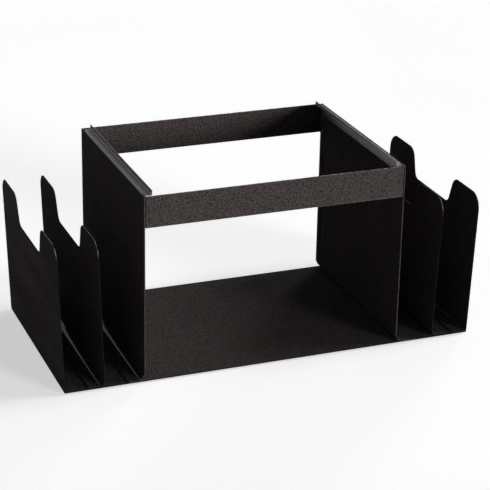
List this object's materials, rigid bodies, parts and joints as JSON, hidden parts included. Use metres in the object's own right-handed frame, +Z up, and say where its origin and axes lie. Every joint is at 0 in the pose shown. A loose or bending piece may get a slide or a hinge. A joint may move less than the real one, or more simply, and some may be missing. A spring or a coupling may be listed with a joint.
{
  "type": "desktop file holder",
  "caption": "Black sheet-steel desktop file holder: an open hanging-file bay with hanging rails, flanked by folder slots with leaning, finger-notched uprights.",
  "frame": {"origin": "on the desk surface, under the middle of the base", "axes": "+X along the length to the viewer's right, +Y from front to back, +Z up"},
  "size_m": [0.5512, 0.26, 0.2475],
  "materials": {
    "powder_coat": "fine-textured satin black powder coat on sheet steel",
    "foot_rubber": "matt black rubber"
  },
  "bodies": {
    "root": {"base_plate": "powder_coat", "left_end_panel": "powder_coat", "right_end_panel": "powder_coat", "left_divider": "powder_coat", "right_divider": "powder_coat", "left_bay_wall": "powder_coat", "right_bay_wall": "powder_coat", "front_band": "powder_coat", "rear_band": "powder_coat", "left_hanging_rail": "powder_coat", "right_hanging_rail": "powder_coat", "foot_front_left": "foot_rubber", "foot_front_right": "foot_rubber", "foot_rear_left": "foot_rubber", "foot_rear_right": "foot_rubber"}
  },
  "joints": []
}
